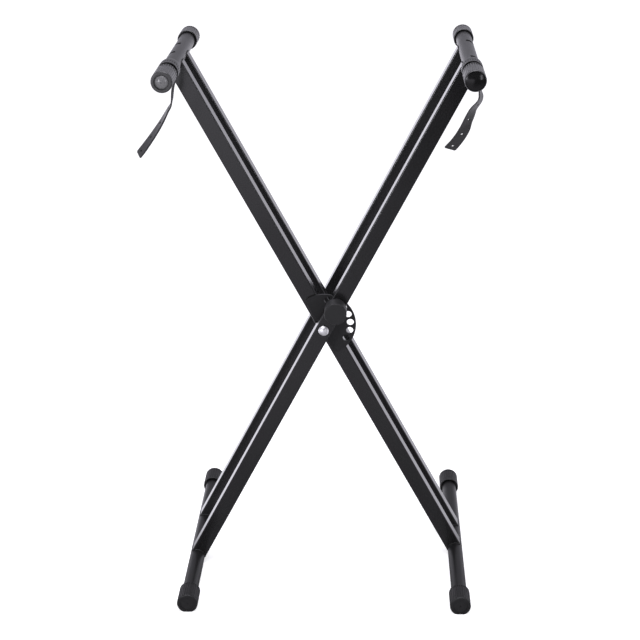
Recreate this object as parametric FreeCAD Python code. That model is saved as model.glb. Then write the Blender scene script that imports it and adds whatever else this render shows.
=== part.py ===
import FreeCAD, Part
import math
import os

os.makedirs("parts", exist_ok=True)

# Folding double-braced X stand for a keyboard. Millimetres and degrees, +X right,
# +Y from the lock side to the back, +Z up. The origin is on the floor under the pivot.

# Legs
leg_lean = 27.8                 # lean of each leg from upright, in the lock hole in use
pivot_to_support = 479.5        # pivot axis to support bar axis, along the leg
pivot_to_foot = 471.5           # pivot axis to foot bar axis, along the leg
tube_height = 25.5              # leg tube, across the face seen from the front
tube_depth = 23.0               # leg tube, front to back
tube_wall = 1.5
tube_corner = 1.8               # outer corner radius of the leg tube
tube_end_setback = 4.5          # the square tube end stops this far short of the bar axis
inner_tube_gap = 40.0           # clear space between the two inner tubes
leg_gap = 6.0                   # clear space between an inner tube and the outer one beside it
weld_gap = 0.05                 # root gap where a tube is coped on a bar

# Round bars
bar_diameter = 25.0
bar_wall = 1.5
support_bar_length = 340.0
foot_bar_length = 431.0
slot_width = 10.0               # short curved slot across the crest of a support bar
slot_depth = 2.0                # through the wall
slot_half_span = 40.0
slot_outward = 8.0              # a slot's middle lies this far round from the leg's line
outer_bar_slots = (-62.0, 58.0)  # middles of the slots, front to back
inner_bar_slots = (-21.0, 46.0)

# Rubber caps on all eight bar ends
cap_diameter = 32.0             # on the support bars
foot_cap_diameter = 33.6
cap_length = 41.0
front_cap_length = 51.5         # the two front caps of the support bars are longer
cap_mouth_depth = 7.0           # a cap stands clear of its bar for this far at the open end
cap_mouth_wall = 1.5            # rubber left round the open end
cap_mouth_round = 0.6
cap_end_wall = 5.0
cap_face_round = 2.4
cap_dish_diameter = 24.0        # shallow round sinking in the face of a cap with no button
cap_dish_depth = 1.2
cap_fit = 0.05                  # radial room between a cap and its bar
rib_count = 28
rib_groove_radius = 1.25
rib_groove_end = 2.5            # the grooves stop this far from a cap's open end
rib_groove_lift = 0.35          # groove centres stand this far outside the cap's surface
tread_depth = 2.5               # cut off the floor side of a foot cap to make it flat

# Buttons pressed in the faces of the two front support bar caps
left_button_diameter = 18.5
left_recess_diameter = 23.0
right_button_diameter = 28.6
right_recess_diameter = 29.2
button_recess = 2.5
button_seat = 0.05              # room under a button
button_rise = 3.0               # dome height above the button's rim
button_rim = 1.2                # straight edge of a button
dimple_diameter = 2.4           # mould mark at the middle of a cap's face or of a button
dimple_depth = 1.0

# Pivot
pivot_diameter = 10.0
running_fit = 0.05              # radial room round the pivot bolt
bolt_head_diameter = 16.4
bolt_head_edge = 1.2
bolt_head_rise = 4.6            # dome height above the head's edge
bolt_past_nut = 2.0
thread_end_gap = 0.1            # room past the end of a threaded shaft
washer_thickness = 1.6
front_washer_diameter = 15.6
rear_washer_diameter = 20.0
nut_across_flats = 17.0
nut_height = 8.0
nut_dome_diameter = 15.0
nut_dome_rise = 5.0
bush_diameter = 24.0
bush_play = 0.1                 # room at each face of a plastic bush
spacer_diameter = 16.0

# Lock plate on the inner leg
plate_radius = 51.5
plate_thickness = 3.8
plate_edge_inset = 5.0          # the plate's straight edge lies this far inside the tube's edge
plate_corner = 5.0
plate_rim = 3.2                 # steel left between a lock hole and the plate's edge
hole_diameter = 11.6
hole_count = 7
hole_step = 19.0
holes_above_rest = 1            # lock holes from the one in use towards folded flat

# Pull-knob lock on the outer leg
housing_diameter = 18.0
housing_bore = 13.0
housing_front = 10.0            # the sleeve stands this far in front of the tube
housing_end_wall = 3.0
housing_fit = 0.05
plunger_diameter = 10.5
plunger_collar_diameter = 12.8
plunger_collar_length = 3.0
plunger_collar_inset = 10.0     # from the collar's back face to the tube's back face
plunger_tip_gap = 0.4           # the tip stops this far short of the lock plate
plunger_tip_bevel = 1.0
stem_diameter = 6.0
stem_fit = 0.05
spring_wire = 1.1
spring_mean_diameter = 9.8
spring_turns = 4.5
spring_end_gap = 0.1
bezel_diameter = 34.0
bezel_thickness = 6.0
bezel_edge = 2.0
knob_diameter = 35.6
knob_length = 20.0
knob_face_round = 1.6
knob_cavity_diameter = 22.0
knob_cavity_depth = 11.0
knob_gap = 0.3                  # the knob stops this far in front of the bezel
knob_thread_depth = 6.0         # the stem is screwed this far in the knob

# Rubber hold-down straps at the front ends of the support bars
strap_collar_diameter = 32.0
strap_collar_taper = 14.0
strap_collar_lip = 0.8
shoulder_mid_out = 0.74         # the taper's curve passes this share of its drop above the lip
shoulder_mid_along = 0.58       # and this share of its length from its start
strap_mouth_depth = 3.5         # the collar stands clear of the bar for this far in front
strap_mouth_wall = 1.0
strap_collar_gap = 12.5         # between the collar and the cap in front of it
strap_tube_gap = 1.5            # between the collar and the leg tube behind it
strap_tail_inset = 13.3         # collar's front edge to the middle of the tail
strap_fit = 0.1
strap_width = 18.0
strap_thickness = 2.4
strap_end_round = 3.0
strap_hole_diameter = 4.6
strap_hole_count = 4
strap_hole_pitch = 26.4
strap_hole_end = 8.5            # last hole to the strap's end

# Centre lines of the strap tails from the bar's axis at the collar: right, back, up, twist
left_strap_line = [
    (13.9, 0.0, -2.0, 0.0),
    (9.4, 0.0, -14.0, 0.0),
    (6.7, 0.0, -20.9, 0.0),
    (5.0, 0.0, -27.9, 0.0),
    (4.0, 0.0, -36.2, -1.0),
    (3.1, 0.0, -43.7, -3.0),
    (1.1, 0.0, -51.3, -6.0),
    (-3.6, 0.0, -58.9, -9.0),
    (-12.3, 0.0, -74.1, -15.5),
    (-22.3, 0.0, -89.4, -21.0),
    (-33.3, 0.0, -104.7, -25.0),
    (-44.7, 0.0, -119.6, -29.0),
    (-50.0, 0.0, -125.9, -29.0),
]
right_strap_line = [
    (13.9, 0.0, -2.0, 0.0),
    (12.4, 0.0, -13.0, 3.0),
    (11.6, 0.0, -24.0, 8.0),
    (12.6, 0.0, -34.8, 14.0),
    (13.5, 0.0, -40.8, 21.5),
    (12.0, 0.0, -46.8, 25.0),
    (8.4, 0.0, -52.0, 28.0),
    (3.0, 0.0, -59.0, 34.5),
    (-1.2, 0.0, -68.6, 45.0),
    (-5.2, 1.0, -78.6, 50.0),
    (-9.3, 4.0, -90.8, 63.0),
    (-15.2, 9.0, -103.2, 66.0),
    (-22.4, 15.0, -115.2, 67.0),
    (-28.6, 19.0, -123.4, 68.0),
]

# Worked out from the sizes above
bar_radius = bar_diameter / 2
half_turn = math.sqrt(0.5)      # middle of a quarter circle
inner_tube_y = (inner_tube_gap + tube_depth) / 2
outer_tube_y = inner_tube_y + tube_depth + leg_gap
outer_front_y = -outer_tube_y - tube_depth / 2
outer_back_y = -outer_tube_y + tube_depth / 2
plate_back_y = -inner_tube_y - tube_depth / 2
plate_front_y = plate_back_y - plate_thickness
foot_bar_height = foot_cap_diameter / 2 - tread_depth
pivot_height = pivot_to_foot * math.cos(math.radians(leg_lean)) + foot_bar_height
support_face_y = -(support_bar_length / 2 + cap_end_wall)
collar_front_y = support_face_y + front_cap_length + strap_collar_gap
strap_collar_length = outer_front_y - strap_tube_gap - collar_front_y
strap_tail_y = collar_front_y + strap_tail_inset
strap_bore = bar_diameter + 2 * strap_fit
hole_circle_radius = plate_radius - plate_rim - hole_diameter / 2
plunger_collar_back = outer_back_y - plunger_collar_inset
plunger_collar_front = plunger_collar_back - plunger_collar_length
knob_back = outer_front_y - bezel_thickness - knob_gap
knob_front = knob_back - knob_length
knob_cavity_floor = knob_back - knob_cavity_depth

ORIGIN = FreeCAD.Vector(0, 0, 0)
ALONG_Y = FreeCAD.Vector(0, 1, 0)
ALONG_Z = FreeCAD.Vector(0, 0, 1)


def at(x, y, z):
    return FreeCAD.Vector(x, y, z)


def save(name, shape):
    solids = shape.Solids
    kept = solids[0] if len(solids) == 1 else Part.makeCompound(solids)
    kept.exportStep("parts/" + name + ".step")
    print(name, "solids", len(solids), "volume", round(kept.Volume), "valid", kept.isValid())


def leaned(shape, lean):
    """An upright leg piece, leaned about the pivot and lifted to the pivot's height."""
    placed = shape.copy()
    placed.rotate(ORIGIN, ALONG_Y, lean)
    placed.translate(at(0, 0, pivot_height))
    return placed


def rod(diameter, from_y, to_y, x=0.0, z=0.0):
    """A round rod along Y."""
    return Part.makeCylinder(diameter / 2, to_y - from_y, at(x, from_y, z), ALONG_Y)


def turned(profile):
    """A solid turned about Y from (radius, y) points.

    An entry of four numbers is an arc through its first pair to its second."""
    edges = []
    last = at(profile[0][0], profile[0][1], 0)
    for entry in profile[1:] + profile[:1]:
        end = at(entry[-2], entry[-1], 0)
        if len(entry) == 4:
            edges.append(Part.Arc(last, at(entry[0], entry[1], 0), end).toShape())
        else:
            edges.append(Part.makeLine(last, end))
        last = end
    return Part.Face(Part.Wire(edges)).revolve(ORIGIN, ALONG_Y, 360)


def shoulder_arc(radius, start, lip, end):
    """The entry for a shoulder that draws in from a radius to a lip."""
    middle_radius = lip + (radius - lip) * shoulder_mid_out
    return (middle_radius, start + (end - start) * shoulder_mid_along, lip, end)


def dome_middle(radius, rise):
    """Height of a dome of this radius and rise, halfway out from its crown."""
    sphere = (radius * radius + rise * rise) / (2 * rise)
    return rise - sphere + math.sqrt(sphere * sphere - radius * radius / 4)


# Legs: coped rectangular tubes and the round bars across their ends

def rounded_bar(width, depth, corner, from_z, to_z, y):
    """An upright rectangular bar with rounded long edges."""
    box = Part.makeBox(width, depth, to_z - from_z, at(-width / 2, y - depth / 2, from_z))
    upright = [edge for edge in box.Edges if edge.BoundBox.ZLength > (to_z - from_z) / 2]
    return box.makeFillet(corner, upright)


def leg_tube(y):
    """One leg tube, coped on both bars and drilled for the pivot bolt."""
    bottom = tube_end_setback - pivot_to_foot
    top = pivot_to_support - tube_end_setback
    bore_width = tube_height - 2 * tube_wall
    bore_depth = tube_depth - 2 * tube_wall
    bore_corner = tube_corner - tube_wall
    outside = rounded_bar(tube_height, tube_depth, tube_corner, bottom, top, y)
    inside = rounded_bar(bore_width, bore_depth, bore_corner, bottom - 1, top + 1, y)
    front = y - tube_depth
    back = y + tube_depth
    cope = bar_diameter + 2 * weld_gap
    tube = outside.cut(inside)
    tube = tube.cut(rod(cope, front, back, 0, pivot_to_support))
    tube = tube.cut(rod(cope, front, back, 0, -pivot_to_foot))
    return tube.cut(rod(pivot_diameter + 2 * running_fit, front, back))


def round_bar(length, z):
    """A round tube along Y across the ends of two leg tubes."""
    outside = rod(bar_diameter, -length / 2, length / 2, 0, z)
    bore = bar_diameter - 2 * bar_wall
    return outside.cut(rod(bore, -length / 2 - 1, length / 2 + 1, 0, z))


def crest_slot(y, outward):
    """The cutter for one short curved slot, set outward from the crest of a support bar."""
    span = 2 * slot_half_span
    sector = Part.makeCylinder(bar_radius + 1, slot_width, ORIGIN, ALONG_Y, span)
    cutter = sector.cut(rod(bar_diameter - 2 * slot_depth, -1, slot_width + 1)).Solids[0]
    middle = cutter.CenterOfMass
    turn = outward * slot_outward - math.degrees(math.atan2(middle.x, middle.z))
    cutter.rotate(ORIGIN, ALONG_Y, turn)
    cutter.translate(at(0, y - slot_width / 2, pivot_to_support))
    return cutter


def support_bar(slots, outward):
    """The upper bar of a leg, slotted near each leg tube on its outward side (1 right, -1 left)."""
    bar = round_bar(support_bar_length, pivot_to_support)
    for y in slots:
        bar = bar.cut(crest_slot(y, outward))
    return bar


# Ribbed rubber caps and the buttons in their faces

def rib_grooves(radius, length):
    """The grooves between the ribs of a cap that faces -Y, as one cutter."""
    end = length - rib_groove_end
    groove = rod(2 * rib_groove_radius, cap_face_round, end, radius + rib_groove_lift)
    grooves = []
    for index in range(rib_count):
        copy = groove.copy()
        copy.rotate(ORIGIN, ALONG_Y, 360.0 * index / rib_count)
        grooves.append(copy)
    return Part.makeCompound(grooves)


def cap_mouth(diameter, length):
    """The cutter that leaves a thin wall round a cap's open end."""
    return rod(diameter - 2 * cap_mouth_wall, length - cap_mouth_depth, length + 1)


def end_cap(diameter, length, recess_diameter=0.0):
    """A rubber cap with no mouth yet. Its face lies at y = 0 and its open end along +Y."""
    radius = diameter / 2
    bore = bar_radius + cap_fit
    face_edge = radius - cap_face_round
    round_middle = face_edge + cap_face_round * half_turn
    profile = [
        (0, 0),
        (face_edge, 0),
        (round_middle, radius - round_middle, radius, cap_face_round),
        (radius, length - cap_mouth_round),
        (radius - cap_mouth_round, length),
        (bore, length),
        (bore, cap_end_wall),
        (0, cap_end_wall),
    ]
    cap = turned(profile).cut(rib_grooves(radius, length))
    if recess_diameter:
        return cap.cut(rod(recess_diameter, -1, button_recess))
    cap = cap.cut(rod(cap_dish_diameter, -1, cap_dish_depth))
    return cap.cut(rod(dimple_diameter, -1, cap_dish_depth + dimple_depth))


def capped(cap, bar_length, z, side):
    """A cap pushed home on the front (side -1) or rear (side 1) end of a bar."""
    placed = cap.copy()
    if side > 0:
        placed.rotate(ORIGIN, ALONG_Z, 180)
    placed.translate(at(0, side * (bar_length / 2 + cap_end_wall), z))
    return placed


def foot_cap(x, side):
    """A cap on a foot bar, turned so that one rib points down and cut flat for the floor."""
    below = at(x - foot_cap_diameter, -foot_bar_length, -foot_cap_diameter)
    spare = Part.makeBox(2 * foot_cap_diameter, 2 * foot_bar_length, foot_cap_diameter, below)
    whole_cap = end_cap(foot_cap_diameter, cap_length)
    placed = capped(whole_cap, foot_bar_length, foot_bar_height, side)
    placed.translate(at(x, 0, 0))
    placed = placed.cut(spare)
    mouth = capped(cap_mouth(foot_cap_diameter, cap_length), foot_bar_length, foot_bar_height, side)
    mouth.translate(at(x, 0, 0))
    spare.translate(at(0, 0, cap_mouth_wall))
    return placed.cut(mouth.cut(spare))


def end_button(diameter, dimple):
    """A domed button that stands in the recess of a cap whose face is at y = 0."""
    radius = diameter / 2
    floor = button_recess - button_seat
    rim = floor - button_rim
    crown = rim - button_rise
    middle = rim - dome_middle(radius, button_rise)
    button = turned([(0, floor), (0, crown), (radius / 2, middle, radius, rim), (radius, floor)])
    if dimple:
        button = button.cut(rod(dimple_diameter, crown - 1, crown + dimple_depth))
    return button


# Pivot bolt, nut, washers, bushes and spacer

def pivot_bolt():
    radius = bolt_head_diameter / 2
    seat = outer_front_y - washer_thickness
    rim = seat - bolt_head_edge
    crown = rim - bolt_head_rise
    middle = rim - dome_middle(radius, bolt_head_rise)
    tip = -seat + nut_height + bolt_past_nut
    return turned([
        (0, crown),
        (radius / 2, middle, radius, rim),
        (radius, seat),
        (pivot_diameter / 2, seat),
        (pivot_diameter / 2, tip),
        (0, tip),
    ])


def pivot_nut():
    """A domed hexagon nut behind the outer rear tube."""
    seat = -outer_front_y + washer_thickness
    top = seat + nut_height
    corner = nut_across_flats / math.sqrt(3)
    points = []
    for index in range(7):
        turn = math.radians(60 * index)
        points.append(at(corner * math.cos(turn), seat, corner * math.sin(turn)))
    hexagon = Part.Face(Part.makePolygon(points)).extrude(at(0, nut_height, 0))
    radius = nut_dome_diameter / 2
    middle = top + dome_middle(radius, nut_dome_rise)
    crown = top + nut_dome_rise
    dome = turned([(0, seat), (radius, seat), (radius, top), (radius / 2, middle, 0, crown)])
    bore = rod(pivot_diameter + 2 * running_fit, seat - 1, top + bolt_past_nut + thread_end_gap)
    return hexagon.fuse(dome).removeSplitter().cut(bore)


def ring(diameter, from_y, to_y):
    """A flat ring that runs on the pivot bolt."""
    return rod(diameter, from_y, to_y).cut(
        rod(pivot_diameter + 2 * running_fit, from_y - 1, to_y + 1)
    )


def pivot_washers():
    front = ring(front_washer_diameter, outer_front_y - washer_thickness, outer_front_y)
    rear = ring(rear_washer_diameter, -outer_front_y, -outer_front_y + washer_thickness)
    return Part.makeCompound([front, rear])


def pivot_bushes():
    front = ring(bush_diameter, outer_back_y + bush_play, plate_front_y - bush_play)
    rear = ring(bush_diameter, -plate_back_y + bush_play, -outer_back_y - bush_play)
    return Part.makeCompound([front, rear])


# Lock plate and pull-knob lock

def lock_plate():
    """A steel disc cut straight along the inner tube's edge, with an arc of lock holes."""
    edge_x = plate_edge_inset - tube_height / 2
    edge_z = math.sqrt(plate_radius * plate_radius - edge_x * edge_x)
    disc = rod(2 * plate_radius, plate_front_y, plate_back_y)
    beyond = at(edge_x - 2 * plate_radius, plate_front_y - 1, -2 * plate_radius)
    spare = Part.makeBox(2 * plate_radius, plate_thickness + 2, 4 * plate_radius, beyond)
    plate = disc.cut(spare)
    corners = []
    for edge in plate.Edges:
        middle = edge.CenterOfMass
        at_corner = abs(middle.x - edge_x) < 0.01 and abs(abs(middle.z) - edge_z) < 0.01
        if at_corner and edge.BoundBox.YLength > plate_thickness / 2:
            corners.append(edge)
    plate = plate.makeFillet(plate_corner, corners)
    plate = plate.cut(rod(pivot_diameter + 2 * running_fit, plate_front_y - 1, plate_back_y + 1))
    in_use = 90 - 2 * leg_lean
    for index in range(hole_count):
        turn = math.radians(in_use + hole_step * (holes_above_rest - index))
        hole_x = hole_circle_radius * math.cos(turn)
        hole_z = hole_circle_radius * math.sin(turn)
        plate = plate.cut(rod(hole_diameter, plate_front_y - 1, plate_back_y + 1, hole_x, hole_z))
    return plate


def lock_housing():
    """The steel sleeve that carries the plunger through the outer front tube."""
    front = outer_front_y - housing_front
    body = rod(housing_diameter, front, outer_back_y, 0, hole_circle_radius)
    bore_front = front + housing_end_wall
    body = body.cut(rod(housing_bore, bore_front, outer_back_y + 1, 0, hole_circle_radius))
    stem_hole = stem_diameter + 2 * stem_fit
    return body.cut(rod(stem_hole, front - 1, bore_front + 1, 0, hole_circle_radius))


def lock_pin():
    """The plunger, its spring collar and the stem that the knob is screwed on."""
    tip = plate_front_y - plunger_tip_gap
    stem_end = knob_cavity_floor - knob_thread_depth
    pin = turned([
        (0, stem_end),
        (stem_diameter / 2, stem_end),
        (stem_diameter / 2, plunger_collar_front),
        (plunger_collar_diameter / 2, plunger_collar_front),
        (plunger_collar_diameter / 2, plunger_collar_back),
        (plunger_diameter / 2, plunger_collar_back),
        (plunger_diameter / 2, tip - plunger_tip_bevel),
        (plunger_diameter / 2 - plunger_tip_bevel, tip),
        (0, tip),
    ])
    pin.translate(at(0, 0, hole_circle_radius))
    return pin


def lock_spring():
    """The coil spring between the sleeve's end wall and the plunger's collar."""
    start = outer_front_y - housing_front + housing_end_wall + spring_end_gap + spring_wire / 2
    length = plunger_collar_front - spring_end_gap - spring_wire / 2 - start
    coil_radius = spring_mean_diameter / 2
    helix = Part.makeHelix(length / spring_turns, length, coil_radius)
    wire_end = Part.makeCircle(spring_wire / 2, at(coil_radius, 0, 0), ALONG_Y)
    coil = Part.Wire(helix.Edges).makePipeShell([Part.Wire([wire_end])], True, True)
    coil.rotate(ORIGIN, at(1, 0, 0), -90)
    coil.translate(at(0, start, hole_circle_radius))
    return coil


def lock_bezel():
    """The plastic base ring on the tube's face, round the sleeve."""
    inner = housing_diameter / 2 + housing_fit
    front = outer_front_y - bezel_thickness
    bezel = turned([
        (inner, outer_front_y),
        (bezel_diameter / 2, outer_front_y),
        (bezel_diameter / 2, front + bezel_edge),
        (bezel_diameter / 2 - bezel_edge, front),
        (inner, front),
    ])
    bezel.translate(at(0, 0, hole_circle_radius))
    return bezel


def lock_knob():
    """The round pull knob, hollow behind so that it slides over the sleeve."""
    radius = knob_diameter / 2
    face_edge = radius - knob_face_round
    round_middle = face_edge + knob_face_round * half_turn
    stem_hole = stem_diameter / 2 + stem_fit
    stem_end = knob_cavity_floor - knob_thread_depth - thread_end_gap
    knob = turned([
        (0, knob_front),
        (face_edge, knob_front),
        (round_middle, knob_front + radius - round_middle, radius, knob_front + knob_face_round),
        (radius, knob_back),
        (knob_cavity_diameter / 2, knob_back),
        (knob_cavity_diameter / 2, knob_cavity_floor),
        (stem_hole, knob_cavity_floor),
        (stem_hole, stem_end),
        (0, stem_end),
    ])
    knob.translate(at(0, 0, hole_circle_radius))
    return knob


# Hold-down straps

def strap_collar():
    bore = strap_bore / 2
    lip = bore + strap_collar_lip
    outside = strap_collar_diameter / 2
    taper = collar_front_y + strap_collar_length - strap_collar_taper
    back = collar_front_y + strap_collar_length
    mouth = outside - strap_mouth_wall
    return turned([
        (bore, collar_front_y + strap_mouth_depth),
        (mouth, collar_front_y + strap_mouth_depth),
        (mouth, collar_front_y),
        (outside, collar_front_y),
        (outside, taper),
        shoulder_arc(outside, taper, lip, back),
        (bore, back),
    ])


def strap_frame(line, index):
    """Centre, direction, width and thickness directions of a tail at one of its points."""
    x, y, z, twist = line[index]
    before = line[max(index - 1, 0)]
    after = line[min(index + 1, len(line) - 1)]
    along = at(after[0] - before[0], after[1] - before[1], after[2] - before[2])
    along.normalize()
    level = ALONG_Y - along * along.y
    level.normalize()
    turn = math.radians(twist)
    across = level * math.cos(turn) + along.cross(level) * math.sin(turn)
    return at(x, strap_tail_y + y, z), along, across, along.cross(across)


def strap_section(centre, across, through, width):
    half_width = across * (width / 2)
    half_thickness = through * (strap_thickness / 2)
    corners = [
        centre - half_width - half_thickness,
        centre + half_width - half_thickness,
        centre + half_width + half_thickness,
        centre - half_width + half_thickness,
    ]
    return Part.makePolygon(corners + corners[:1])


def strap_holes(line):
    """Cutters for the holes, counted back from the strap's end along its centre line."""
    cutters = []
    travelled = strap_end_round
    wanted = [strap_hole_end + strap_hole_pitch * index for index in range(strap_hole_count)]
    for index in range(len(line) - 1, 0, -1):
        centre, along, across, through = strap_frame(line, index)
        previous = strap_frame(line, index - 1)[0]
        step = (previous - centre).Length
        while wanted and wanted[0] <= travelled + step:
            share = (wanted.pop(0) - travelled) / step
            middle = centre + (previous - centre) * share - through * (2 * strap_thickness)
            radius = strap_hole_diameter / 2
            cutters.append(Part.makeCylinder(radius, 4 * strap_thickness, middle, through))
        travelled += step
    return Part.makeCompound(cutters)


def strap(line, bar_x, bar_z):
    """A moulded rubber strap: a collar on the bar and a holed tail that hangs from it."""
    sections = []
    for index in range(len(line)):
        centre, along, across, through = strap_frame(line, index)
        sections.append(strap_section(centre, across, through, strap_width))
    tip = centre + along * strap_end_round
    sections.append(strap_section(tip, across, through, strap_width - 2 * strap_end_round))
    tail = Part.makeLoft(sections, True, True).cut(strap_holes(line))
    tail = tail.cut(rod(strap_bore, collar_front_y, collar_front_y + strap_collar_length))
    piece = strap_collar().fuse(tail)
    piece.translate(at(bar_x, 0, bar_z))
    return piece


# The outer leg, which carries the pivot bolt and the lock

lock_hole = rod(
    housing_diameter + 2 * housing_fit, outer_front_y - 1, outer_back_y + 1, 0, hole_circle_radius
)
save("outer_front_tube", leaned(leg_tube(-outer_tube_y).cut(lock_hole), leg_lean))
save("outer_rear_tube", leaned(leg_tube(outer_tube_y), leg_lean))
save("outer_foot_bar", leaned(round_bar(foot_bar_length, -pivot_to_foot), leg_lean))
save("outer_support_bar", leaned(support_bar(outer_bar_slots, 1), leg_lean))
save("pivot_bolt", leaned(pivot_bolt(), leg_lean))
save("pivot_nut", leaned(pivot_nut(), leg_lean))
save("pivot_washers", leaned(pivot_washers(), leg_lean))
save("pivot_bushes", leaned(pivot_bushes(), leg_lean))
save("lock_housing", leaned(lock_housing(), leg_lean))
save("lock_bezel", leaned(lock_bezel(), leg_lean))
save("lock_pin", leaned(lock_pin(), leg_lean))
save("lock_spring", leaned(lock_spring(), leg_lean))
save("lock_knob", leaned(lock_knob(), leg_lean))

# The inner leg, which carries the lock plate

save("inner_front_tube", leaned(leg_tube(-inner_tube_y), -leg_lean))
save("inner_rear_tube", leaned(leg_tube(inner_tube_y), -leg_lean))
save("inner_foot_bar", leaned(round_bar(foot_bar_length, -pivot_to_foot), -leg_lean))
save("inner_support_bar", leaned(support_bar(inner_bar_slots, -1), -leg_lean))
save("lock_plate", leaned(lock_plate(), -leg_lean))
save("pivot_spacer", leaned(ring(spacer_diameter, -inner_tube_gap / 2, inner_tube_gap / 2), -leg_lean))

# Caps and buttons

rear_cap = end_cap(cap_diameter, cap_length).cut(cap_mouth(cap_diameter, cap_length))
front_mouth = cap_mouth(cap_diameter, front_cap_length)
front_caps = {
    "outer": end_cap(cap_diameter, front_cap_length, right_recess_diameter).cut(front_mouth),
    "inner": end_cap(cap_diameter, front_cap_length, left_recess_diameter).cut(front_mouth),
}
for leg, lean in (("outer", leg_lean), ("inner", -leg_lean)):
    foot_x = -pivot_to_foot * math.sin(math.radians(lean))
    for end, side in (("front", -1), ("rear", 1)):
        save(leg + "_foot_cap_" + end, foot_cap(foot_x, side))
    front_end = capped(front_caps[leg], support_bar_length, pivot_to_support, -1)
    rear_end = capped(rear_cap, support_bar_length, pivot_to_support, 1)
    save(leg + "_bar_cap_front", leaned(front_end, lean))
    save(leg + "_bar_cap_rear", leaned(rear_end, lean))

left_button = end_button(left_button_diameter, True)
right_button = end_button(right_button_diameter, False)
for name, button, lean in (("left", left_button, -leg_lean), ("right", right_button, leg_lean)):
    placed_button = button.copy()
    placed_button.translate(at(0, support_face_y, pivot_to_support))
    save(name + "_cap_button", leaned(placed_button, lean))

# Straps

bar_x = pivot_to_support * math.sin(math.radians(leg_lean))
bar_z = pivot_height + pivot_to_support * math.cos(math.radians(leg_lean))
save("left_strap", strap(left_strap_line, -bar_x, bar_z))
save("right_strap", strap(right_strap_line, bar_x, bar_z))
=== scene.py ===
import math
import bpy
from mathutils import Matrix, Vector


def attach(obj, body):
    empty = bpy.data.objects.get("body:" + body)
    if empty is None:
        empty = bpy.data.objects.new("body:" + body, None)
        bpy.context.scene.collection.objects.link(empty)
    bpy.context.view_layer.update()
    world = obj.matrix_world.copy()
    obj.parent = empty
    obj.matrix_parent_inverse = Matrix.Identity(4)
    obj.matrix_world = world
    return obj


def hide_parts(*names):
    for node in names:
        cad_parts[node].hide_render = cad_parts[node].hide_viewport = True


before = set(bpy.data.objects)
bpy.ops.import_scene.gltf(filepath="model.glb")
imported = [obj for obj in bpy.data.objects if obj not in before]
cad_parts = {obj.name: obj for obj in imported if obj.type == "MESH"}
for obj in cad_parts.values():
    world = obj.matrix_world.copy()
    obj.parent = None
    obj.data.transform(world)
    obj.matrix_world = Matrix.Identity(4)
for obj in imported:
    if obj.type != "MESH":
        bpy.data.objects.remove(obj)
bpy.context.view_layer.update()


# Leg tubes. Four 25.5 x 23 mm rectangular steel tubes, coped round the bars at both
# ends. They are blasted, then powder coated satin black with a faint orange peel.

def new_finish(name, values):
    """An empty node group that puts out a colour, a roughness and a relief."""
    group = bpy.data.node_groups.new(name, "ShaderNodeTree")
    for label, value in values.items():
        socket = group.interface.new_socket(label, in_out="INPUT", socket_type="NodeSocketFloat")
        socket.default_value = value
    outputs = (("Color", "NodeSocketColor"), ("Roughness", "NodeSocketFloat"), ("Height", "NodeSocketFloat"))
    for label, kind in outputs:
        group.interface.new_socket(label, in_out="OUTPUT", socket_type=kind)
    return group


def noise(tree, place, scale, detail):
    pattern = tree.nodes.new("ShaderNodeTexNoise")
    pattern.inputs["Scale"].default_value = scale
    pattern.inputs["Detail"].default_value = detail
    tree.links.new(place.outputs["Object"], pattern.inputs["Vector"])
    return pattern.outputs["Fac"]


def between(tree, source, source_ends, ends):
    """The source, which runs between its own ends, brought to run between two other ends, each
    a number or a socket."""
    scaled = tree.nodes.new("ShaderNodeMapRange")
    scaled.inputs["From Min"].default_value = source_ends[0]
    scaled.inputs["From Max"].default_value = source_ends[1]
    tree.links.new(source, scaled.inputs["Value"])
    for label, end in zip(("To Min", "To Max"), ends):
        if isinstance(end, bpy.types.NodeSocket):
            tree.links.new(end, scaled.inputs[label])
        else:
            scaled.inputs[label].default_value = end
    return scaled.outputs["Result"]


def grey(tree, brightness):
    colour = tree.nodes.new("ShaderNodeCombineColor")
    for channel in ("Red", "Green", "Blue"):
        tree.links.new(brightness, colour.inputs[channel])
    return colour.outputs["Color"]


def cloudy_finish(name, cloud_scale, cloud_detail, grain_scale, grain_detail, values):
    """A finish whose shade and gloss drift in soft clouds, with a fine even relief."""
    group = new_finish(name, values)
    chosen = group.nodes.new("NodeGroupInput")
    results = group.nodes.new("NodeGroupOutput")
    place = group.nodes.new("ShaderNodeTexCoord")
    cloud = noise(group, place, cloud_scale, cloud_detail)
    cloud_ends = (0.3, 0.7)
    tone = between(group, cloud, cloud_ends, (chosen.outputs["Dark"], chosen.outputs["Light"]))
    sheen = between(group, cloud, cloud_ends, (chosen.outputs["Sheen low"], chosen.outputs["Sheen high"]))
    group.links.new(grey(group, tone), results.inputs["Color"])
    group.links.new(sheen, results.inputs["Roughness"])
    group.links.new(noise(group, place, grain_scale, grain_detail), results.inputs["Height"])
    return group


def surface(name, finish, values, relief, **settings):
    """A material whose colour, roughness and relief come from a finish."""
    made = bpy.data.materials.new(name)
    made.use_nodes = True
    tree = made.node_tree
    shader = tree.nodes["Principled BSDF"]
    for label, value in settings.items():
        shader.inputs[label.replace("_", " ")].default_value = value
    chosen = tree.nodes.new("ShaderNodeGroup")
    chosen.node_tree = finish
    for label, value in values.items():
        chosen.inputs[label].default_value = value
    tree.links.new(chosen.outputs["Color"], shader.inputs["Base Color"])
    tree.links.new(chosen.outputs["Roughness"], shader.inputs["Roughness"])
    bump = tree.nodes.new("ShaderNodeBump")
    bump.inputs["Strength"].default_value = relief
    bump.inputs["Distance"].default_value = 0.0002
    tree.links.new(chosen.outputs["Height"], bump.inputs["Height"])
    tree.links.new(bump.outputs["Normal"], shader.inputs["Normal"])
    return made


def finish_nodes(material, *names):
    for name in names:
        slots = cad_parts[name].data.materials
        slots.clear()
        slots.append(material)


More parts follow.
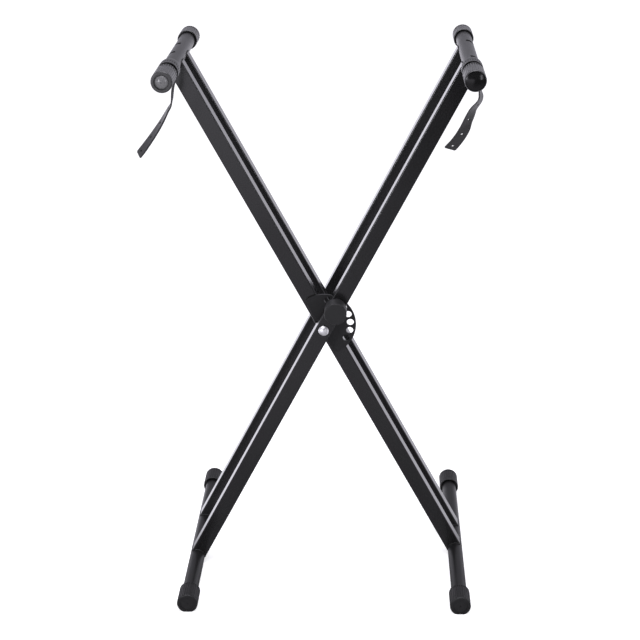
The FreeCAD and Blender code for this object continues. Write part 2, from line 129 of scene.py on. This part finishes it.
coat_grain = cloudy_finish(
    "powder coat grain", cloud_scale=9.0, cloud_detail=4.0, grain_scale=620.0, grain_detail=3.0,
    values={"Dark": 0.007, "Light": 0.010, "Sheen low": 0.17, "Sheen high": 0.21},
)
powder_coat = surface("black powder coat", coat_grain, {}, relief=0.12)
finish_nodes(powder_coat, "outer_front_tube", "inner_front_tube")

# The rear tubes have the same coat as the front ones; their lighter colour is painted light.
rear_coat_painted_light = surface("rear powder coat painted light", coat_grain, {"Dark": 0.012, "Light": 0.016}, relief=0.12)
finish_nodes(rear_coat_painted_light, "outer_rear_tube", "inner_rear_tube")


# Round bars. Cut lengths of 25 mm round tube, welded across the ends of each pair of
# leg tubes, with two short slots across the crest of each upper bar. Coated with the legs.

# The upper bars have the legs' coat, coloured lighter than the legs: painted light.
bar_coat_painted_light = surface(
    "bar powder coat", coat_grain,
    {"Dark": 0.012, "Light": 0.016, "Sheen low": 0.36, "Sheen high": 0.42},
    relief=0.14, Specular_IOR_Level=0.4,
)
finish_nodes(bar_coat_painted_light, "outer_support_bar", "inner_support_bar")

# The foot bars have the same coat as the upper bars, coloured darker: painted shade.
foot_bar_coat_painted_shade = surface(
    "foot bar powder coat painted shade", coat_grain,
    {"Dark": 0.006, "Light": 0.009, "Sheen low": 0.40, "Sheen high": 0.46},
    relief=0.14, Specular_IOR_Level=0.35,
)
finish_nodes(foot_bar_coat_painted_shade, "outer_foot_bar", "inner_foot_bar")


# Weld beads. One MIG bead runs round each tube end where it is coped to a bar, with the
# ripple of a hand torch. The beads are blasted and powder coated with the leg.

leg_lean = math.radians(27.8)
pivot_height = 0.43138
pivot_to_support = 0.4795
pivot_to_foot = 0.4715
outer_tube_y = 0.0605
inner_tube_y = 0.0315
bar_radius = 0.0125
bead_radius = 0.0009
ripple_count = 66
ripple_depth = 0.09
swell_count = 5
swell_depth = 0.06


def line_round_tube_end():
    """Centre line of a bead: a curve under the bar on the tube's front and rear faces, joined by
    a straight run on each side face. The bar's axis lies along Y through the origin."""
    tube_half_depth = 0.0115
    stand_off = 0.0002
    cope_drop = 0.0045
    side_reach = 0.0124
    side_drop = 0.0042
    curve_steps = 40
    straight_steps = 24
    smoothing_rounds = 3
    cope_angle = math.asin(cope_drop / bar_radius)
    points = []
    for face, end in ((-1.0, 1.0), (1.0, -1.0)):
        for step in range(curve_steps + 1):
            turned = end * (step / curve_steps - 0.5) * (math.pi - 2 * cope_angle)
            angle = turned - math.pi / 2
            points.append(Vector((
                (bar_radius + stand_off) * math.cos(angle),
                face * (tube_half_depth + stand_off),
                (bar_radius + stand_off) * math.sin(angle),
            )))
        for step in range(1, straight_steps):
            across = face * tube_half_depth * (1.0 - 2 * step / straight_steps)
            points.append(Vector((end * side_reach, across, -side_drop)))
    for smoothing in range(smoothing_rounds):
        points = [
            (points[index - 1] + points[index] * 2 + points[(index + 1) % len(points)]) / 4
            for index in range(len(points))
        ]
    return points


def point_on_line(points, share):
    """The point this share of the way round a closed line."""
    place = (share % 1.0) * len(points)
    index = int(place) % len(points)
    return points[index].lerp(points[(index + 1) % len(points)], place - int(place))


bpy.ops.object.select_all(action="DESELECT")
bpy.ops.mesh.primitive_torus_add(
    major_segments=336, minor_segments=10, major_radius=bar_radius, minor_radius=bead_radius,
)
tube_end_bead = bpy.context.object
bead_line = line_round_tube_end()
bead_middle = Vector((0.0, 0.0, -0.006))
near = 0.004
for vertex in tube_end_bead.data.vertices:
    turn = math.atan2(vertex.co.y, vertex.co.x) / math.tau
    centre = point_on_line(bead_line, turn)
    along = point_on_line(bead_line, turn + near) - point_on_line(bead_line, turn - near)
    along.normalize()
    outward = centre - bead_middle
    outward = (outward - along * outward.dot(along)).normalized()
    beside = along.cross(outward)
    ripple = ripple_depth * math.sin(math.tau * ripple_count * turn)
    swell = swell_depth * math.sin(math.tau * swell_count * turn)
    girth = 1.0 + ripple + swell
    from_middle = math.hypot(vertex.co.x, vertex.co.y) - bar_radius
    vertex.co = centre + outward * (from_middle * girth) + beside * (vertex.co.z * girth)
bpy.ops.object.mode_set(mode="EDIT")
bpy.ops.mesh.select_all(action="SELECT")
bpy.ops.mesh.normals_make_consistent(inside=False)
bpy.ops.object.mode_set(mode="OBJECT")
bpy.ops.object.shade_smooth()

thick_coat = surface(
    "thick powder coat", coat_grain,
    {"Dark": 0.007, "Light": 0.010, "Sheen low": 0.40, "Sheen high": 0.48},
    relief=0.18, Specular_IOR_Level=0.4,
)


def place_bead(bead, name, place, body):
    """A copy of a modelled bead, with its own mesh moved to its place on a leg."""
    placed = bpy.data.objects.new(name, bead.data.copy())
    bpy.context.scene.collection.objects.link(placed)
    placed.data.transform(place)
    placed.data.materials.append(thick_coat)
    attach(placed, body)


upside_down = Matrix.Rotation(math.pi, 4, "Y")
for leg, lean, tube_y in (("outer", leg_lean, outer_tube_y), ("inner", -leg_lean, inner_tube_y)):
    for tube, side in (("front", -1.0), ("rear", 1.0)):
        tube_line = Matrix.Translation((0.0, side * tube_y, pivot_height)) @ Matrix.Rotation(lean, 4, "Y")
        upper_end = tube_line @ Matrix.Translation((0.0, 0.0, pivot_to_support))
        foot_end = tube_line @ Matrix.Translation((0.0, 0.0, -pivot_to_foot)) @ upside_down
        for end, place in (("upper", upper_end), ("foot", foot_end)):
            bead_name = leg + "_" + tube + "_" + end + "_weld"
            place_bead(tube_end_bead, bead_name, place, leg + "_leg")
bpy.data.objects.remove(tube_end_bead)


# Lock plate. A laser-cut steel disc, flat on one side, held on the inner front tube by two
# short stitch beads along its straight edge, and coated with the leg.

finish_nodes(thick_coat, "lock_plate")

stitch_half_length = 0.009
stitch_radius = 0.0016
stitch_ripples = 11
stitch_edge = Vector((-0.0080, -0.0434, 0.0))
stitch_from_pivot = 0.033
bpy.ops.object.select_all(action="DESELECT")
bpy.ops.mesh.primitive_uv_sphere_add(segments=14, ring_count=72, radius=1.0)
stitch_bead = bpy.context.object
for vertex in stitch_bead.data.vertices:
    share = math.asin(max(-1.0, min(1.0, vertex.co.z))) * 2 / math.pi
    blunt_end = max(0.0, 1.0 - share ** 6) ** 0.5
    girth = stitch_radius * blunt_end * (1.0 + ripple_depth * math.sin(stitch_ripples * math.pi * share))
    spread = math.hypot(vertex.co.x, vertex.co.y)
    if spread > 0.0:
        vertex.co.x *= girth / spread
        vertex.co.y *= girth / spread
    vertex.co.z = stitch_half_length * share
bpy.ops.object.shade_smooth()
inner_leg_line = Matrix.Translation((0.0, 0.0, pivot_height)) @ Matrix.Rotation(-leg_lean, 4, "Y")
for end, side in (("upper", 1.0), ("lower", -1.0)):
    middle = stitch_edge + Vector((0.0, 0.0, side * stitch_from_pivot))
    place = inner_leg_line @ Matrix.Translation(middle)
    place_bead(stitch_bead, "plate_" + end + "_weld", place, "inner_leg")
bpy.data.objects.remove(stitch_bead)


# Pivot. A chromed dome-head bolt through all four tubes, with zinc-plated washers, a
# spacer tube between the inner tubes, nylon bushes and a domed nut behind.

drawn_metal = new_finish("drawn metal", {"Shade": 0.6, "Sheen": 0.25})
metal_values = drawn_metal.nodes.new("NodeGroupInput")
metal_results = drawn_metal.nodes.new("NodeGroupOutput")
scuff = noise(drawn_metal, drawn_metal.nodes.new("ShaderNodeTexCoord"), scale=260.0, detail=5.0)
scuffed = {}
for label, depth in (("Shade", 0.06), ("Sheen", 0.08)):
    drift = drawn_metal.nodes.new("ShaderNodeMath")
    drift.operation = "MULTIPLY_ADD"
    drift.inputs[1].default_value = depth
    drawn_metal.links.new(scuff, drift.inputs[0])
    drawn_metal.links.new(metal_values.outputs[label], drift.inputs[2])
    scuffed[label] = drift.outputs[0]
drawn_metal.links.new(grey(drawn_metal, scuffed["Shade"]), metal_results.inputs["Color"])
drawn_metal.links.new(scuffed["Sheen"], metal_results.inputs["Roughness"])
drawn_metal.links.new(scuff, metal_results.inputs["Height"])

chrome = surface("chromed steel", drawn_metal, {"Shade": 0.96, "Sheen": 0.42}, relief=0.0, Metallic=1.0)
finish_nodes(chrome, "pivot_bolt", "pivot_nut")
zinc = surface("zinc plated steel", drawn_metal, {"Shade": 0.55, "Sheen": 0.28}, relief=0.1, Metallic=1.0)
finish_nodes(zinc, "pivot_washers", "pivot_spacer")


# Moulded plastic. Black nylon bushes, and the lock's bezel and pull knob, moulded in black
# with a fine spark texture.

moulded_plastic = surface(
    "moulded plastic", coat_grain,
    {"Dark": 0.011, "Light": 0.015, "Sheen low": 0.52, "Sheen high": 0.6},
    relief=0.2, Specular_IOR_Level=0.40,
)
finish_nodes(moulded_plastic, "pivot_bushes", "lock_bezel", "lock_knob")


# Pull-knob lock. A turned sleeve through the outer front tube holds the plunger and its
# coil spring. The plunger drops into a hole of the lock plate.

finish_nodes(zinc, "lock_housing", "lock_pin", "lock_spring")


# End caps. Ribbed rubber caps pushed on all the bar ends. Each has a round-edged face and
# a mouth that stands clear of its bar. The foot caps are flat underneath.

rubber_bloom = cloudy_finish(
    "rubber bloom", cloud_scale=45.0, cloud_detail=6.0, grain_scale=1400.0, grain_detail=2.0,
    values={"Dark": 0.030, "Light": 0.042, "Sheen low": 0.30, "Sheen high": 0.38},
)
cap_rubber = surface("cap rubber", rubber_bloom, {}, relief=0.15)
# The foot caps are the same rubber as the upper caps, coloured darker: painted shade.
foot_rubber_painted_shade = surface(
    "foot cap rubber painted shade", rubber_bloom,
    {"Dark": 0.008, "Light": 0.012, "Sheen low": 0.40, "Sheen high": 0.48},
    relief=0.15, Specular_IOR_Level=0.42,
)
for leg in ("outer", "inner"):
    finish_nodes(cap_rubber, leg + "_bar_cap_front", leg + "_bar_cap_rear")
    finish_nodes(foot_rubber_painted_shade, leg + "_foot_cap_front", leg + "_foot_cap_rear")


# Buttons. Smooth domed plugs pressed in the faces of the two upper front caps, the right
# one black and glossy and the left one grey and satin.

black_button = surface(
    "button plastic", coat_grain,
    {"Dark": 0.006, "Light": 0.008, "Sheen low": 0.15, "Sheen high": 0.18},
    relief=0.0, Specular_IOR_Level=0.24,
)
finish_nodes(black_button, "right_cap_button")
satin_button = surface(
    "satin button plastic", coat_grain,
    {"Dark": 0.13, "Light": 0.16, "Sheen low": 0.20, "Sheen high": 0.26}, relief=0.05,
)
finish_nodes(satin_button, "left_cap_button")


# Straps. Soft dark grey rubber straps for holding a keyboard down, each moulded in one piece:
# a ribbed collar that grips the support bar and a flat holed tail that hangs from it.

strap_rubber = surface(
    "strap rubber", rubber_bloom,
    {"Dark": 0.018, "Light": 0.028, "Sheen low": 0.36, "Sheen high": 0.44}, relief=0.1,
)
strap_bar_x = pivot_to_support * math.sin(leg_lean)
strap_bar_z = pivot_height + pivot_to_support * math.cos(leg_lean)
tail_middle_y = -0.0977
strap_width = 0.018
strap_thickness = 0.0024
moulded_edge = 0.00045
hole_radius = 0.0020
punch_length = 0.01
hole_count = 4
hole_pitch = 0.0264
hole_from_end = 0.0085
tip_length = 0.003

# Middle lines of the tails, in mm and degrees: right of the bar's axis, back from where the
# tail starts, up from the axis, and twist.
left_hang = (
    (13.9, 0.0, -2.0, 0.0), (9.4, 0.0, -14.0, 0.0), (6.7, 0.0, -20.9, 0.0),
    (5.0, 0.0, -27.9, 0.0), (4.0, 0.0, -36.2, -1.0), (3.1, 0.0, -43.7, -3.0),
    (1.1, 0.0, -51.3, -6.0), (-3.6, 0.0, -58.9, -9.0), (-12.3, 0.0, -74.1, -15.5),
    (-22.3, 0.0, -89.4, -21.0), (-33.3, 0.0, -104.7, -25.0), (-44.7, 0.0, -119.6, -29.0),
    (-50.0, 0.0, -125.9, -29.0),
)
right_hang = (
    (13.9, 0.0, -2.0, 0.0), (12.4, 0.0, -13.0, 3.0), (11.6, 0.0, -24.0, 8.0),
    (12.6, 0.0, -34.8, 14.0), (13.5, 0.0, -40.8, 21.5), (12.0, 0.0, -46.8, 25.0),
    (8.4, 0.0, -52.0, 28.0), (3.0, 0.0, -59.0, 34.5), (-1.2, 0.0, -68.6, 45.0),
    (-5.2, 1.0, -78.6, 50.0), (-9.3, 4.0, -90.8, 63.0), (-15.2, 9.0, -103.2, 66.0),
    (-22.4, 15.0, -115.2, 67.0), (-28.6, 19.0, -123.4, 68.0),
)

# Cuts across the tails' ends: the edge that a cut is measured on, its slant in degrees and
# how far from the end it crosses that edge.
left_cuts = ((1.0, 0.0, 0.0006), (1.0, 45.0, 0.0026), (-1.0, 45.0, 0.0010))
right_cuts = ((1.0, 9.0, 0.0026), (1.0, 55.0, 0.0042), (-1.0, 60.0, 0.0004))


def run_lengths(hang):
    """Distance along the hanging line to each of its points, in metres."""
    runs = [0.0]
    for here, there in zip(hang, hang[1:]):
        runs.append(runs[-1] + (Vector(there[:3]) - Vector(here[:3])).length / 1000)
    return runs


def on_hang(hang, runs, run):
    """Place and twist of the tail's centre at this distance along it, smooth through the points."""
    index = 0
    while index < len(runs) - 2 and run > runs[index + 1]:
        index += 1
    step = runs[index + 1] - runs[index]
    share = (run - runs[index]) / step
    here = Vector(hang[index])
    there = Vector(hang[index + 1])
    before = Vector(hang[max(index - 1, 0)])
    after = Vector(hang[min(index + 2, len(hang) - 1)])
    leaving = (there - before) * step / (runs[index + 1] - runs[max(index - 1, 0)])
    arriving = (after - here) * step / (runs[min(index + 2, len(runs) - 1)] - runs[index])
    if share > 1.0:
        return there + arriving * (share - 1.0)
    square = share * share
    cube = square * share
    return (
        here * (2 * cube - 3 * square + 1) + leaving * (cube - 2 * square + share)
        + there * (3 * square - 2 * cube) + arriving * (cube - square)
    )


def hung(hang, runs, flat):
    """Where a point of the flat tail goes: x is along it, y across it and z through it."""
    centre = on_hang(hang, runs, flat.x)
    near = 0.0005
    along = (on_hang(hang, runs, flat.x + near) - on_hang(hang, runs, max(flat.x - near, 0.0))).to_3d()
    along.normalize()
    level = Vector((0.0, 1.0, 0.0)) - along * along.y
    level.normalize()
    turn = math.radians(centre[3])
    across = level * math.cos(turn) + along.cross(level) * math.sin(turn)
    through = along.cross(across)
    return centre.to_3d() / 1000 + across * flat.y + through * flat.z


def holed_tail(bar_x, hang, end_cuts):
    """The tail, cut and punched flat, with moulded edges, and then hung from its bar."""
    runs = run_lengths(hang)
    length = runs[-1] + tip_length
    bpy.ops.object.select_all(action="DESELECT")
    bpy.ops.mesh.primitive_grid_add(x_subdivisions=90, y_subdivisions=10, size=1.0)
    tail = bpy.context.object
    bpy.ops.object.mode_set(mode="EDIT")
    bpy.ops.transform.resize(value=(length, strap_width, 1.0))
    bpy.ops.transform.translate(value=(length / 2, 0.0, 0.0))
    for side, slant, inset in end_cuts:
        bpy.ops.mesh.select_all(action="SELECT")
        bpy.ops.mesh.bisect(
            plane_co=(length - inset, side * strap_width / 2, 0.0),
            plane_no=(math.cos(math.radians(slant)), side * math.sin(math.radians(slant)), 0.0),
            clear_outer=True,
        )
    bpy.ops.object.mode_set(mode="OBJECT")
    wall = tail.modifiers.new("thickness", "SOLIDIFY")
    wall.thickness = strap_thickness
    wall.offset = 0.0
    bpy.ops.object.modifier_apply(modifier=wall.name)
    punches = []
    for index in range(hole_count):
        bpy.ops.mesh.primitive_cylinder_add(
            vertices=32, radius=hole_radius, depth=punch_length,
            location=(length - hole_from_end - index * hole_pitch, 0.0, 0.0),
        )
        punches.append(bpy.context.object)
    bpy.ops.object.select_all(action="DESELECT")
    for punch in punches:
        punch.select_set(True)
    bpy.context.view_layer.objects.active = punches[0]
    bpy.ops.object.join()
    cut = tail.modifiers.new("holes", "BOOLEAN")
    cut.object = punches[0]
    cut.operation = "DIFFERENCE"
    cut.solver = "EXACT"
    bpy.ops.object.select_all(action="DESELECT")
    tail.select_set(True)
    bpy.context.view_layer.objects.active = tail
    bpy.ops.object.modifier_apply(modifier=cut.name)
    bpy.data.objects.remove(punches[0])
    edge = tail.modifiers.new("moulded edges", "BEVEL")
    edge.width = moulded_edge
    edge.segments = 3
    edge.limit_method = "ANGLE"
    edge.angle_limit = math.radians(50)
    bpy.ops.object.modifier_apply(modifier=edge.name)
    for vertex in tail.data.vertices:
        vertex.co = hung(hang, runs, vertex.co) + Vector((bar_x, tail_middle_y, strap_bar_z))
    return tail


collar_front_y = -0.1110
collar_radius = 0.016
collar_length = 0.0375
bore_radius = 0.0126
mouth_radius = 0.0153
mouth_depth = 0.0065
rib_count = 28
groove_depth = 0.0009
groove_start = 0.001
groove_end = 0.014
groove_width = 0.35


def ribbed_collar(bar_x):
    """The collar, drawn out ring by ring from the floor of its mouth and back inside."""
    lip = ((0.0002, mouth_radius), (0.0, 0.0154), (0.0, 0.0158), (0.0003, collar_radius))
    barrel = tuple((run, collar_radius) for run in (0.0008, 0.0016, 0.0135, 0.0145, 0.0235))
    shoulder = (
        (0.0265, 0.01585), (0.0295, 0.01550), (0.0320, 0.01505), (0.0343, 0.01450),
        (0.0361, 0.01395), (0.0372, 0.01350), (collar_length, 0.01310),
    )
    inside = ((collar_length, bore_radius), (mouth_depth, bore_radius), (mouth_depth, mouth_radius))
    bpy.ops.object.select_all(action="DESELECT")
    bpy.ops.mesh.primitive_circle_add(
        vertices=6 * rib_count, radius=mouth_radius,
        location=(bar_x, collar_front_y + mouth_depth, strap_bar_z), rotation=(math.pi / 2, 0.0, 0.0),
    )
    collar = bpy.context.object
    bpy.ops.object.transform_apply(location=True, rotation=True, scale=True)
    bpy.ops.object.mode_set(mode="EDIT")
    bpy.ops.mesh.select_all(action="SELECT")
    reached = mouth_depth
    radius = mouth_radius
    for run, next_radius in lip + barrel + shoulder + inside:
        bpy.ops.mesh.extrude_region_move(TRANSFORM_OT_translate={"value": (0.0, run - reached, 0.0)})
        bpy.ops.transform.resize(
            value=(next_radius / radius, 1.0, next_radius / radius),
            center_override=(bar_x, collar_front_y + run, strap_bar_z),
        )
        reached = run
        radius = next_radius
    bpy.ops.mesh.select_all(action="SELECT")
    bpy.ops.mesh.remove_doubles(threshold=0.00001)
    bpy.ops.mesh.normals_make_consistent(inside=False)
    bpy.ops.object.mode_set(mode="OBJECT")
    for vertex in collar.data.vertices:
        right = vertex.co.x - bar_x
        rise = vertex.co.z - strap_bar_z
        reach = math.hypot(right, rise)
        ribbed = groove_start < vertex.co.y - collar_front_y < groove_end
        if ribbed and reach > collar_radius - 0.0001:
            wave = math.cos(rib_count * math.atan2(rise, right))
            sink = groove_depth * max(0.0, wave + groove_width) / (1.0 + groove_width) / reach
            vertex.co.x -= right * sink
            vertex.co.z -= rise * sink
    return collar


for side, bar_x, hang, end_cuts in (
    ("left", -strap_bar_x, left_hang, left_cuts),
    ("right", strap_bar_x, right_hang, right_cuts),
):
    strap = holed_tail(bar_x, hang, end_cuts)
    collar = ribbed_collar(bar_x)
    strap.select_set(True)
    collar.select_set(True)
    bpy.context.view_layer.objects.active = strap
    bpy.ops.object.join()
    bpy.ops.object.mode_set(mode="EDIT")
    bpy.ops.mesh.select_all(action="SELECT")
    bpy.ops.mesh.normals_make_consistent(inside=False)
    bpy.ops.object.mode_set(mode="OBJECT")
    bpy.ops.object.shade_smooth_by_angle(angle=math.radians(35))
    bpy.ops.object.transform_apply(location=True, rotation=True, scale=True)
    strap.name = side + "_hold_down_strap"
    strap.data.materials.clear()
    strap.data.materials.append(strap_rubber)
    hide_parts(side + "_strap")
    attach(strap, side + "_strap_body")


# Floor. A pale floor that runs off to white and takes the stand's shadow. In the gloss it
# is darker in front, as in a room behind the camera, and more so on the right.

bpy.ops.object.select_all(action="DESELECT")
bpy.ops.mesh.primitive_plane_add(size=40.0, location=(0.0, 0.0, 0.0))
floor = bpy.context.object
floor.name = "studio_floor"
floor_paint = bpy.data.materials.new("floor paint")
floor_paint.use_nodes = True
tree = floor_paint.node_tree
paint = tree.nodes["Principled BSDF"]
paint.inputs["Base Color"].default_value = (0.85, 0.85, 0.85, 1.0)
paint.inputs["Roughness"].default_value = 0.9
glow = tree.nodes.new("ShaderNodeEmission")
glow.inputs["Strength"].default_value = 0.65
lit_floor = tree.nodes.new("ShaderNodeAddShader")
tree.links.new(paint.outputs["BSDF"], lit_floor.inputs[0])
tree.links.new(glow.outputs["Emission"], lit_floor.inputs[1])


def shown_to(tree, rays, shader, otherwise):
    """One shader for these rays and the other for the rest."""
    switch = tree.nodes.new("ShaderNodeMixShader")
    tree.links.new(rays, switch.inputs["Fac"])
    tree.links.new(otherwise, switch.inputs[1])
    tree.links.new(shader, switch.inputs[2])
    return switch.outputs["Shader"]


def tinted(tree, colour, tint):
    product = tree.nodes.new("ShaderNodeMix")
    product.data_type = "RGBA"
    product.blend_type = "MULTIPLY"
    product.inputs["Factor"].default_value = 1.0
    product.inputs["B"].default_value = tint
    tree.links.new(colour, product.inputs["A"])
    return product.outputs["Result"]


# How bright the floor looks in the gloss, from 6 m in front of the stand to 1 m behind it.
left_of_stand = (
    (0.0, 1.5), (0.40, 1.2), (0.60, 0.65), (0.73, 0.6), (0.815, 0.35), (0.845, 0.3), (0.88, 1.65),
)
right_of_stand = (
    (0.0, 0.03), (0.40, 0.03), (0.60, 0.15), (0.73, 0.55), (0.815, 0.35), (0.845, 0.3), (0.88, 1.08),
)
floor_place = tree.nodes.new("ShaderNodeTexCoord")
floor_axes = tree.nodes.new("ShaderNodeSeparateXYZ")
tree.links.new(floor_place.outputs["Object"], floor_axes.inputs["Vector"])
backwards = between(tree, floor_axes.outputs["Y"], (-6.0, 1.0), (0.0, 1.0))
sideways = between(tree, floor_axes.outputs["X"], (-0.2, 0.2), (0.0, 1.0))
across_floor = tree.nodes.new("ShaderNodeMix")
across_floor.data_type = "RGBA"
tree.links.new(sideways, across_floor.inputs["Factor"])
for end, stops in (("A", left_of_stand), ("B", right_of_stand)):
    brightness = tree.nodes.new("ShaderNodeValToRGB")
    tree.links.new(backwards, brightness.inputs["Fac"])
    ramp = brightness.color_ramp.elements
    while len(ramp) < len(stops):
        ramp.new(0.5)
    for element, (position, shade) in zip(ramp, stops):
        element.position = position
        element.color = (shade, shade, shade, 1.0)
    tree.links.new(brightness.outputs["Color"], across_floor.inputs[end])
mirrored = tree.nodes.new("ShaderNodeEmission")
cool_floor = tinted(tree, across_floor.outputs["Result"], (1.02, 1.0, 1.10, 1.0))
tree.links.new(cool_floor, mirrored.inputs["Color"])
rays = tree.nodes.new("ShaderNodeLightPath")
plain_floor = shown_to(
    tree, rays.outputs["Is Camera Ray"], lit_floor.outputs["Shader"], otherwise=paint.outputs["BSDF"],
)
any_floor = shown_to(
    tree, rays.outputs["Is Glossy Ray"], mirrored.outputs["Emission"], otherwise=plain_floor,
)
tree.links.new(any_floor, tree.nodes["Material Output"].inputs["Surface"])
floor.data.materials.append(floor_paint)


# Room. White where the camera sees it, a dim fill for the shadows, and in the gloss darker
# towards the camera and overhead.

studio = bpy.data.worlds.new("studio")
bpy.context.scene.world = studio
studio.use_nodes = True
tree = studio.node_tree
fill = tree.nodes["Background"]
fill.inputs["Color"].default_value = (1.02, 1.0, 1.08, 1.0)
fill.inputs["Strength"].default_value = 0.5
around = tree.nodes.new("ShaderNodeTexCoord")
bearing = tree.nodes.new("ShaderNodeSeparateXYZ")
tree.links.new(around.outputs["Generated"], bearing.inputs["Vector"])
behind_stand = between(tree, bearing.outputs["Y"], (-0.75, -0.1), (0.15, 1.0))
near_floor = between(tree, bearing.outputs["Z"], (0.0, 0.3), (0.85, 0.5))
walls = tree.nodes.new("ShaderNodeMath")
walls.operation = "MULTIPLY"
tree.links.new(behind_stand, walls.inputs[0])
tree.links.new(near_floor, walls.inputs[1])
rays = tree.nodes.new("ShaderNodeLightPath")
wall_shade = tree.nodes.new("ShaderNodeMix")
wall_shade.data_type = "FLOAT"
wall_shade.inputs["A"].default_value = 1.0
tree.links.new(rays.outputs["Is Glossy Ray"], wall_shade.inputs["Factor"])
tree.links.new(walls.outputs[0], wall_shade.inputs["B"])
backdrop = tree.nodes.new("ShaderNodeBackground")
backdrop.inputs["Strength"].default_value = 1.0
cool_walls = tinted(tree, wall_shade.outputs["Result"], (1.02, 1.0, 1.12, 1.0))
tree.links.new(cool_walls, backdrop.inputs["Color"])
seen = tree.nodes.new("ShaderNodeMath")
seen.operation = "MAXIMUM"
tree.links.new(rays.outputs["Is Camera Ray"], seen.inputs[0])
tree.links.new(rays.outputs["Is Glossy Ray"], seen.inputs[1])
any_room = shown_to(
    tree, seen.outputs[0], backdrop.outputs["Background"], otherwise=fill.outputs["Background"],
)
tree.links.new(any_room, tree.nodes["World Output"].inputs["Surface"])


# Lights. A square softbox overhead and a strip light on each side of the camera, the left
# one three times as strong.

def softbox(name, place, aim, width, height, watts):
    light = bpy.data.lights.new(name, "AREA")
    light.shape = "RECTANGLE"
    light.size = width
    light.size_y = height
    light.energy = watts
    light.color = (1.0, 0.99, 1.07)
    lamp = bpy.data.objects.new(name, light)
    bpy.context.scene.collection.objects.link(lamp)
    lamp.location = place
    lamp.rotation_euler = (Vector(aim) - Vector(place)).to_track_quat("-Z", "Y").to_euler()
    lamp.visible_camera = False


softbox("top softbox", (0.0, -0.6, 2.6), aim=(0.0, 0.0, 0.4), width=1.6, height=1.6, watts=40.0)
softbox("left strip light", (-1.76, -2.43, 1.1), aim=(0.0, 0.0, 0.5), width=0.37, height=0.95, watts=24.0)
softbox("right strip light", (1.6, -2.5, 1.1), aim=(0.0, 0.0, 0.5), width=0.37, height=0.95, watts=8.0)


# Camera. Its place, turn and focal length are those of the photograph, fitted to the
# stand's edges and corners.

focal_pixels = 1459.02
picture_pixels = 640.0
camera_place = Vector((0.08165, -2.22279, 1.31598))
pitch = math.radians(21.93)
yaw = math.radians(-2.32)
roll = math.radians(-0.73)
camera_data = bpy.data.cameras.new("camera")
camera_data.sensor_width = 36.0
camera_data.sensor_fit = "HORIZONTAL"
camera_data.lens = camera_data.sensor_width * focal_pixels / picture_pixels
camera = bpy.data.objects.new("camera", camera_data)
bpy.context.scene.collection.objects.link(camera)
ahead = Vector((math.sin(yaw) * math.cos(pitch), math.cos(yaw) * math.cos(pitch), -math.sin(pitch)))
right = ahead.cross(Vector((0.0, 0.0, 1.0))).normalized()
up = right.cross(ahead)
rolled_right = right * math.cos(roll) + up * math.sin(roll)
rolled_up = up * math.cos(roll) - right * math.sin(roll)
camera.matrix_world = Matrix((
    (rolled_right.x, rolled_up.x, -ahead.x, camera_place.x),
    (rolled_right.y, rolled_up.y, -ahead.y, camera_place.y),
    (rolled_right.z, rolled_up.z, -ahead.z, camera_place.z),
    (0.0, 0.0, 0.0, 1.0),
))
bpy.context.scene.camera = camera
bpy.context.scene.view_settings.view_transform = "Standard"
